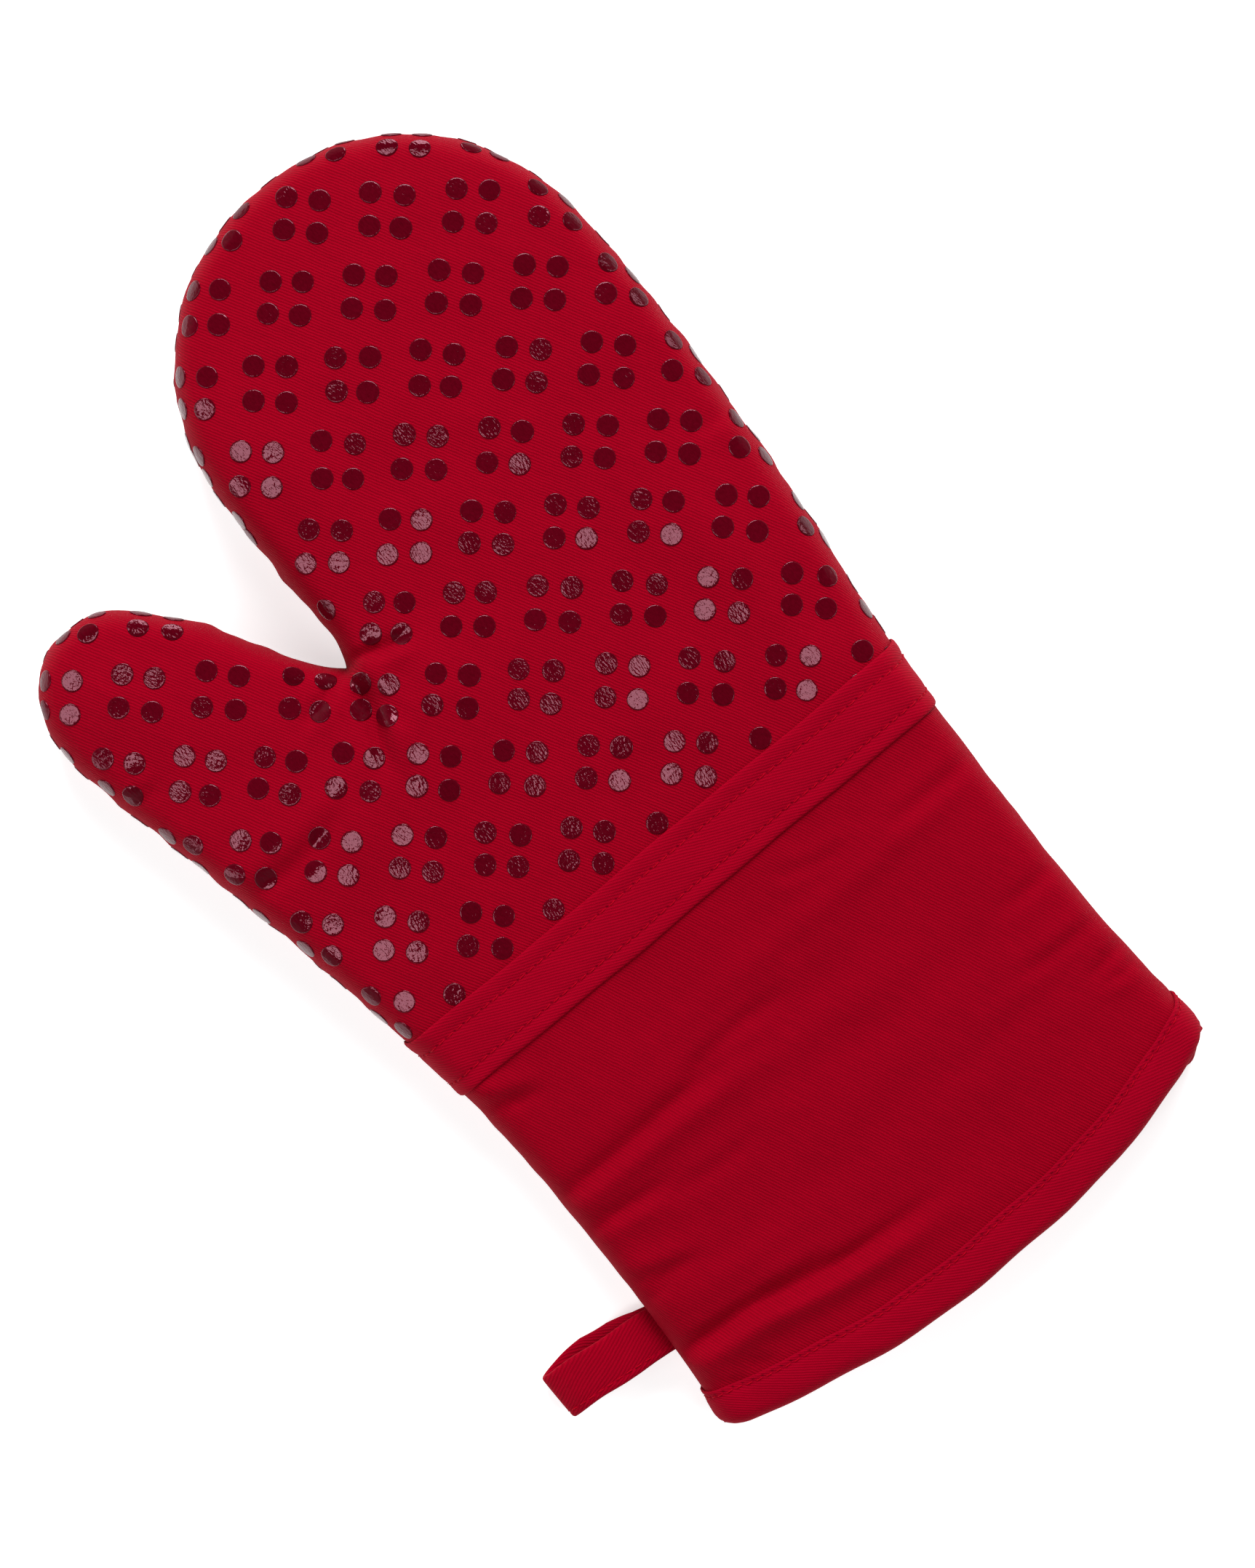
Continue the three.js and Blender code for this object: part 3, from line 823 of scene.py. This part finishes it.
def thread_runs(name, centre, normal, lengths, lift):
    """Short runs of thread along rows of points on a surface that they dive into at both ends."""
    beside = unit(np.cross(unit(np.gradient(centre, axis=1)), normal))
    centre = centre + normal * (STITCH_SINK + lift)[:, None]
    angles = np.radians(np.arange(0, 360, 60))
    around = np.cos(angles)[:, None] * normal[:, :, None] + np.sin(angles)[:, None] * beside[:, :, None]
    points = centre[:, :, None] + THREAD_RADIUS * STITCH_GIRTH[:, None, None] * around
    faces = repeated(swept(points[0]), points[0].size // 3, len(points))
    uv = np.vstack([grid_uv(length * STITCH_STEPS, np.degrees(angles) / 360) for length in lengths])
    obj = make_object(name, points.reshape(-1, 3), faces, uv, material=MATERIALS["thread"])
    return obj


def stitches(name, side, starts, ends, body, lift):
    """A row of stitches from places to places on the flat cloth."""
    cloth = starts[:, None] + (ends - starts)[:, None] * STITCH_STEPS[:, None]
    centre, normal = skin(side, cloth.reshape(-1, 2))
    shape = (len(starts), len(STITCH_STEPS), 3)
    lengths = np.linalg.norm(ends - starts, axis=1)
    obj = thread_runs(name, centre.reshape(shape), normal.reshape(shape), lengths, lift)
    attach(obj, body)


# --- wrist band ---
# Round the strip's section: place across it from its lower edge, and height above the shell.
BAND_SECTION = [(1.6, 0.05), (0.5, 0.06), (0.05, 0.25), (0.0, 0.5), (0.3, 0.78), (1.1, 0.92), (2.4, 0.86),
                (3.5, 0.74), (4.2, 0.55), (4.9, 0.74), (6.2, 0.86), (8.2, 0.9), (10.6, 0.9), (12.8, 0.86),
                (13.8, 0.72), (14.5, 0.55), (15.2, 0.74), (16.4, 0.88), (17.9, 0.92), (18.6, 0.8),
                (18.95, 0.5), (18.9, 0.25), (18.5, 0.06), (17.4, 0.05)]


def band_edge(x, high):
    """The band's edges wander a little; its left end is a touch low."""
    wave = 0.18 * np.sin(x / 13 + (1 if high else 0)) + 0.1 * np.sin(x / 5.1 + 2)
    return wave + 0.004 * x


def cloth_ends(side, y):
    """The left and right end of a half's flat cloth at a height below the thumb."""
    half = len(FINE.q) // 2
    left = np.interp(y, FINE.q[:200, 1], FINE.q[:200, 0])
    right = np.interp(y, FINE.q[half:, 1][::-1], FINE.q[half:, 0][::-1])
    return left - side.extra, right + side.extra


def band_stitches(side, left, right):
    begin = left + 1
    count = len(np.arange(begin, right - 2, STITCH_PITCH))
    middle = (math.floor(begin / STITCH_PITCH) + 1 + np.arange(count)) * STITCH_PITCH
    slant = 0.16 * side.up
    rise = band_edge(middle, False)
    starts = [np.c_[middle - 1.15, row - slant + rise] for row in BAND_ROWS]
    ends = [np.c_[middle + 1.15, row + slant + rise] for row in BAND_ROWS]
    stitches(f"{side.name}_band_stitches", side, np.vstack(starts), np.vstack(ends), "hand", lift=0.62)


def make_band(side):
    left, right = cloth_ends(side, (BAND_LOW + BAND_HIGH) / 2)
    x = np.linspace(left, right, 112)
    section = np.array(BAND_SECTION)
    share = section[:, 0] / section[:, 0].max()
    shift = band_edge(x, False)[:, None] * (1 - share) + band_edge(x, True)[:, None] * share
    cloth = np.stack(np.broadcast_arrays(x[:, None], BAND_LOW + section[:, 0] + shift), -1)
    points, _ = skin(side, cloth.reshape(-1, 2), np.tile(section[:, 1], len(x)))
    faces = [f[::-side.up] for f in swept(points.reshape(len(x), len(section), 3))]
    uv = grid_uv(x, BAND_LOW + section[:, 0])
    obj = make_object(f"{side.name}_band", points, faces, uv, material=MATERIALS["band"])
    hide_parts(f"{side.name}_wrist_band")
    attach(obj, "hand")
    band_stitches(side, left, right)


# --- binding round the mouth ---
# Round the strip's section: place up from its lower edge, and height above the shell. The inner side
# ends in a channel that holds the cloth's edge.
BINDING_FACE = [(11.2, 0.05), (11.25, 0.4), (11.0, 0.72), (10.4, 0.8), (9.6, 0.5), (8.8, 0.8), (7.6, 0.95),
                (6.0, 1.0), (4.6, 1.0), (3.4, 0.95)]
BINDING_INSIDE = [(3.4, -6.5), (5.0, -6.5), (7.0, -6.5), (8.8, -6.5), (9.8, -6.5), (10.0, -6.0), (8.0, -5.8),
                  (5.0, -5.8)]
BINDING_CHANNEL = [(5.0, 0.05), (8.0, 0.05), (10.6, 0.05)]


def binding_hem(x, side):
    """The binding's lower edge is a little uneven, and the back's corners show past the palm's."""
    wave = 0.28 * np.sin(x / 9.5 + 1) + 0.18 * np.sin(x / 4.3)
    if side is BACK:
        wave -= 1.5 * np.exp(-((x - 72) / 4.5) ** 2) + 1.0 * np.exp(-((x + 71) / 4) ** 2)
    else:
        wave += 0.9 * smoothstep(x, 64, 74)
    return hem(x) + wave


def binding_half(side):
    """Rows of points round the strip's section, with their x, and the distances round it."""
    x = np.linspace(*cloth_ends(side, 18.0), 120)
    low = binding_hem(x, side)

    def row(run, height, detail=1.0):
        return skin(side, np.c_[x, low + run], height, detail)[0]

    (turn, top), (_, bottom) = BINDING_FACE[-1], BINDING_INSIDE[0]
    base, normal = skin(side, np.c_[x, low + turn], 0.0, 0.5)
    radius = (top - bottom) / 2
    middle = base + normal * (top - radius)
    rows = [row(*spot) for spot in BINDING_FACE]
    for angle in np.radians(np.arange(18, 180, 18)):
        rows.append(middle + radius * (math.cos(angle) * normal + [0, -0.95 * math.sin(angle), 0]))
    rows += [row(*spot, 0.3) for spot in BINDING_INSIDE]
    rows += [row(*spot) for spot in BINDING_CHANNEL]
    grid = np.stack(rows, 1)
    travelled = np.cumsum(np.r_[0, np.linalg.norm(np.diff(grid[60], axis=0), axis=1)])
    return grid, x, BINDING_FACE[0][0] - travelled


def binding_stitches(side):
    left, right = cloth_ends(side, 20.0)
    first, last = math.ceil(left / BINDING_PITCH) + 1, math.floor(right / BINDING_PITCH)
    x = np.arange(first, last) * BINDING_PITCH
    starts = np.c_[x - 1.02, binding_hem(x - 1, side) + BINDING_ROW - 0.12]
    ends = np.c_[x + 1.02, binding_hem(x + 1, side) + BINDING_ROW + 0.12]
    stitches(f"{side.name}_binding_stitches", side, starts, ends, "cuff", lift=0.6)


def make_binding():
    palm, palm_x, uv_v = binding_half(PALM)
    back, back_x, _ = binding_half(BACK)
    palm[[0, -1]] = (palm[[0, -1]] + back[[0, -1]]) / 2
    grid = np.concatenate([palm, back[-2:0:-1]])
    uv = grid_uv(np.r_[palm_x, 2 * palm_x[-1] - back_x[-2:0:-1]], uv_v)
    faces = swept(grid, ring=True)
    obj = make_object("binding_cloth", grid.reshape(-1, 3), faces, uv, material=MATERIALS["binding"])
    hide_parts("mouth_binding")
    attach(obj, "cuff")
    for side in (PALM, BACK):
        binding_stitches(side)


# --- hanging loop ---
LOOP_MIDDLE_Y, LOOP_WIDTH, LOOP_THICK = 44.35, 12.9, 1.5
# Each end goes this far into the seam, where its stitches don't show.
LOOP_SEWN_IN = 7.0
# A stitch's length, and the row's place below the tape's middle and above its middle line.
LOOP_STITCH, LOOP_ROW, LOOP_ROW_LIFT = 0.79 * STITCH_PITCH, 0.36 * LOOP_WIDTH, 0.36 * LOOP_THICK + 0.08
# The tape's middle line seen from the hem: x, z and shift along y.
LOOP_ROUTE = [(-76.0, 9.9, -2.0), (-81, 10.6, -1.5), (-90, 10.2, -0.4), (-98, 9.0, 0.2), (-104.5, 7.2, 0.6),
              (-108.0, 4.6, 0.9), (-106.8, 1.9, 1.2), (-102, 0.95, 1.7), (-95, 2.2, 2.2), (-87, 5.2, 1.3),
              (-80, 7.9, -0.8), (-76.0, 8.3, -1.6)]

# The upper half of the tape's section: place across it, and height, as shares of half its size.
LOOP_SECTION = [(-1, 0.35), (-0.93, 0.8), (-0.8, 0.9), (-0.72, 0.72), (-0.62, 0.95), (-0.3, 1), (0, 1),
                (0.3, 1), (0.62, 1), (0.85, 0.98), (0.96, 0.8), (1, 0.35)]


def make_loop():
    route = np.array(LOOP_ROUTE)
    path = curve_through([(a, b) for a, b, _ in route], 10)
    spots = np.linspace(0, 1, len(path))
    shift = np.interp(spots, np.linspace(0, 1, len(route)), route[:, 2])
    ahead = unit(np.gradient(path, axis=0))
    outward = np.c_[ahead[:, 1], -ahead[:, 0]]
    run = np.r_[0, np.cumsum(np.linalg.norm(np.diff(path, axis=0), axis=1))]
    upper = np.array(LOOP_SECTION) * [LOOP_WIDTH / 2, LOOP_THICK / 2]
    across, height = np.vstack([upper, upper[::-1] * [1, -1]]).T
    y = (LOOP_MIDDLE_Y + shift + 0.22 * np.sin(run / 3.1))[:, None] + across
    swell = 1 + 0.05 * np.sin(run / 2.3)
    xz = path[:, None] + outward[:, None] * (swell[:, None] * height)[..., None]
    grid = np.stack([xz[..., 0], y, xz[..., 1]], -1)
    uv = grid_uv(run, across + 2 * height)
    obj = make_object("loop_cloth", grid.reshape(-1, 3), swept(grid), uv, material=MATERIALS["loop"])
    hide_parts("hanging_loop")
    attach(obj, "loop")
    loop_stitches(run, path, outward, shift)


def loop_stitches(run, path, outward, shift):
    """One row near the tape's lower edge, in the dent that it draws in."""
    starts = np.arange(LOOP_SEWN_IN, run[-1] - LOOP_SEWN_IN - STITCH_PITCH, STITCH_PITCH)
    at = starts[:, None] + LOOP_STITCH * STITCH_STEPS
    x, z, out_x, out_z, y = (np.interp(at, run, values) for values in (*path.T, *outward.T, shift))
    y = y + LOOP_MIDDLE_Y - LOOP_ROW
    normal = np.stack([out_x, np.zeros_like(x), out_z], -1)
    lengths = np.full(len(starts), LOOP_STITCH)
    obj = thread_runs("loop_stitches", np.stack([x, y, z], -1), normal, lengths, LOOP_ROW_LIFT)
    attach(obj, "loop")


# --- silicone dots ---
# A dot's section, from the middle of its face round to the middle of its underside: share of its
# radius, and height as a share of its rise.
DOT_SECTION = [(0.0, 0.92), (0.45, 0.94), (0.75, 0.98), (0.86, 1.0), (0.915, 0.95), (0.955, 0.8),
               (0.985, 0.5), (1.0, 0.1), (1.0, -1.2), (0.5, -1.2), (0.0, -1.2)]
DOT_STEPS = 24


def dot_shape():
    """One flat dot of radius 1: its points in the plane, their heights and its faces."""
    angles = np.radians(np.arange(0, 360, 360 / DOT_STEPS))
    around = np.c_[np.cos(angles), np.sin(angles)]
    radii, heights = np.transpose(DOT_SECTION)
    counts = [1, *[DOT_STEPS] * (len(radii) - 2), 1]
    plane = np.vstack([radius * around[:count] for radius, count in zip(radii, counts)])
    last = len(plane) - 1
    faces = []
    for k in range(DOT_STEPS):
        after = (k + 1) % DOT_STEPS
        faces.append((0, 1 + k, 1 + after))
        faces.append((last, last - DOT_STEPS + after, last - DOT_STEPS + k))
        for start in range(1, last - DOT_STEPS, DOT_STEPS):
            faces.append((start + k, start + DOT_STEPS + k, start + DOT_STEPS + after, start + after))
    return plane, np.repeat(heights, counts) * DOT_RISE, faces


def as_sewn(print_places):
    """The print was even before sewing. The thumb's cloth was pulled over and the fingers' down."""
    x, y = print_places.T
    thumb = smoothstep(x, -28, -44)
    across = 7.4 * smoothstep(y, 175, 262) * thumb - 0.6 * (1 - thumb)
    along = -1.3 * smoothstep(y, 175, 235) * thumb
    along -= (1.0 + 3.1 * np.exp(-((x + 20) / 26) ** 2)) * smoothstep(y, 195, 258) * (1 - thumb)
    for cx, cy, reach, dx, dy in ((-49, 227, 13, 1.2, -2.2), (-32, 216, 11, 0.8, -1.8)):
        pull = np.exp(-((x - cx) ** 2 + (y - cy) ** 2) / reach ** 2)
        across, along = across + dx * pull, along + dy * pull
    return print_places + np.c_[across, along]


def dot_centres(side):
    """Places of the dots on the flat cloth, without the ones that the notch's seam takes in."""
    steps = [(i, j) for i in range(-14, 16) for j in range(-14, 16)]
    groups = DOT_ORIGIN + steps @ np.array([DOT_STEP_A, DOT_STEP_B])
    found = as_sewn((groups[:, None] + DOT_GROUP).reshape(-1, 2))
    if side is BACK:
        found = found + BACK_DOT_SHIFT
    x, y = found.T
    distance = nearest_on_outline(found)[0]
    on_cloth = (distance > -side.extra - 1.5) & (y > BAND_HIGH - 2.2)
    drawn_in = (distance < 2.5) & (y < 262) & (x > -48) & (x < 0)
    return found[on_cloth & ~drawn_in]


# Where the palm's dots lean to the mitt's left and shine: x, y, reach, and how fully they shine.
SHINING = [(-17, 288, 8, 0.8), (-19, 274, 8, 1.0), (-9, 277, 4, 0.7), (-20, 247, 6, 1.0), (-25, 261, 4, 0.6),
           (2, 234, 4, 1.0), (7, 240, 4, 0.7), (-4, 239, 4, 0.6), (-90, 261, 6, 1.0), (-77, 256, 6, 0.6),
           (-88, 239, 5, 1.0), (-71, 252, 4, 0.6), (-25, 214, 4, 1.0), (-51, 200, 5, 1.0), (-40, 200, 4, 0.9),
           (-79, 204, 6, 0.9), (-61, 205, 5, 0.6), (-58, 187, 5, 1.0), (-65, 191, 5, 0.7), (-47, 179, 6, 0.7),
           (-30, 194, 4, 0.9), (-36, 188, 4, 0.5), (-66, 165, 7, 1.0), (-74, 149, 5, 1.0), (54, 194, 5, 1.0),
           (36, 209, 4, 0.7), (51, 177, 7, 1.0), (54, 144, 5, 1.0), (60, 150, 5, 0.7), (24, 172, 7, 0.6),
           (42, 166, 6, 0.5), (21, 149, 7, 0.6), (4, 156, 5, 0.7), (36, 230, 5, 0.5)]
SHINE_SLOPE, SHINE_BEND = np.array([-0.2, -0.03]), 0.00067
EDGE_WAY = np.array([0.64, 0.77])


def dot_tilt(side, normals, places, rng):
    """What is taken off each dot's normals, by chance, by the stiff edge dots and by those that shine."""
    chance = rng.normal(0, 0.028, (len(places), 2))
    if side is BACK:
        return chance
    slope = (normals[..., :2] / np.maximum(normals[..., 2:], 0.3)).mean(1)
    flatter = np.clip(slope @ EDGE_WAY - 0.18, 0, 0.5)[:, None] * EDGE_WAY
    shining = np.zeros(len(places))
    for x, y, reach, share in SHINING:
        far = np.hypot(places[:, 0] - x, places[:, 1] - y)
        shining = np.maximum(shining, share * smoothstep(far, reach + 1.5, reach - 1.5))
    wanted = SHINE_SLOPE - SHINE_BEND * (places + FRAME_OFFSET[:2])
    return chance + flatter + (slope - wanted) * shining[:, None]


def make_dots(side):
    centres = dot_centres(side)
    rng = np.random.default_rng(11 if side is PALM else 12)
    local, rise, faces = dot_shape()
    jitter = rng.normal(0, 0.18, (len(centres), 2))
    size = DOT_RADIUS * rng.normal(1, 0.012, len(centres))
    cloth = (centres + jitter)[:, None] + local[None] * size[:, None, None]
    under_band = np.minimum(cloth[..., 1] - (BAND_HIGH - 1.2), 0)
    cloth[..., 1] -= 0.96 * under_band
    points, normals = on_shell(side, cloth.reshape(-1, 2), np.tile(rise, len(centres)))
    points, normals = points.reshape(len(centres), -1, 3), normals.reshape(len(centres), -1, 3)
    middles = points.mean(1)[:, :2]
    tilt = dot_tilt(side, normals, middles, rng)
    whole = np.linalg.norm(points - points[:, :1], axis=2).max(1) < 1.75 * DOT_RADIUS
    for name in ("hand", "fingers", "thumb"):
        chosen = np.nonzero(REGIONS[name](middles) & whole)[0]
        every = [f[::side.up] for f in repeated(faces, len(local), len(chosen))]
        flat_points = points[chosen].reshape(-1, 3)
        normals = vertex_normals(flat_points, every)
        normals[:, :2] -= np.repeat(tilt[chosen], len(local), axis=0)
        obj = make_object(f"{side.name}_dots_{name}", flat_points, every, cloth[chosen].reshape(-1, 2),
                          unit(normals), MATERIALS["silicone"])
        move_with(obj, name)


# --- table, light and camera ---
# Name, place in metres, width, height and power. Each points at the middle of the table.
LIGHTS = [("key", (1.9, 2.3, 2.2), 2.1, 2.1, 180), ("left_softbox", (-0.95, -0.1, 2.3), 0.6, 1.2, 17),
          ("left_fill", (-2.4, 0.5, 1.3), 0.9, 1.8, 18), ("right_fill", (1.5, -2.0, 1.4), 0.8, 1.6, 18)]


def make_floor():
    mesh = bpy.data.meshes.new("table")
    corners = [(-6, -6, 0), (6, -6, 0), (6, 6, 0), (-6, 6, 0)]
    mesh.from_pydata(corners, [], [(0, 1, 2, 3)])
    t = Nodes(bpy.data.materials.new("white_table"))
    faint = t.noise(t.new("ShaderNodeTexCoord").outputs["Object"], 3)
    white = t.ramp(faint, (0.2, (0.66, 0.68, 0.68)), (0.8, (0.68, 0.70, 0.70)))
    t.shading(Base_Color=white, Roughness=0.7, Specular_IOR_Level=0.2, Emission_Color=(1, 1, 1, 1),
              Emission_Strength=0.64)
    mesh.materials.append(t.owner)
    add_object("table", mesh)


def make_lights():
    for name, spot, width, height, power in LIGHTS:
        light = bpy.data.lights.new(name, "AREA")
        light.shape, light.size, light.size_y, light.energy = "RECTANGLE", width, height, power
        obj = add_object(name, light)
        obj.location = spot
        obj.rotation_euler = (-Vector(spot)).to_track_quat("-Z", "Y").to_euler()


def make_world():
    """A studio that is dark overhead, behind a white backdrop that only the camera sees."""
    t = Nodes(bpy.data.worlds.new("studio"))
    bpy.context.scene.world = t.owner
    upward = t.parts(t.new("ShaderNodeTexCoord").outputs["Generated"])[2]
    studio = t.tree.nodes["Background"]
    t.feed(studio.inputs["Color"], t.ramp(upward, (0.25, (0.62,) * 3), (0.8, (0.01,) * 3)))
    t.feed(studio.inputs["Strength"], 0.6)
    backdrop = t.new("ShaderNodeBackground")
    t.feed(backdrop.inputs["Color"], (1, 1, 1, 1))
    seen = t.new("ShaderNodeLightPath").outputs["Is Camera Ray"]
    mixed = t.new("ShaderNodeMixShader")
    for socket, value in zip(mixed.inputs, (seen, studio.outputs[0], backdrop.outputs[0])):
        t.feed(socket, value)
    t.feed(t.tree.nodes["World Output"].inputs["Surface"], mixed.outputs[0])


def make_camera():
    camera = bpy.data.cameras.new("camera")
    camera.lens, camera.sensor_width = 100, 36
    camera.clip_start, camera.clip_end = 0.05, 20
    obj = add_object("camera", camera)
    obj.location = (0.0151, -0.0104, 1.116)
    obj.rotation_euler = (0, 0, math.radians(-39.5))
    bpy.context.scene.camera = obj


for side in (PALM, BACK):
    make_band(side)
make_binding()
make_loop()
for side in (PALM, BACK):
    make_dots(side)
make_floor()
make_lights()
make_world()
make_camera()
bpy.context.scene.view_settings.view_transform = "Standard"
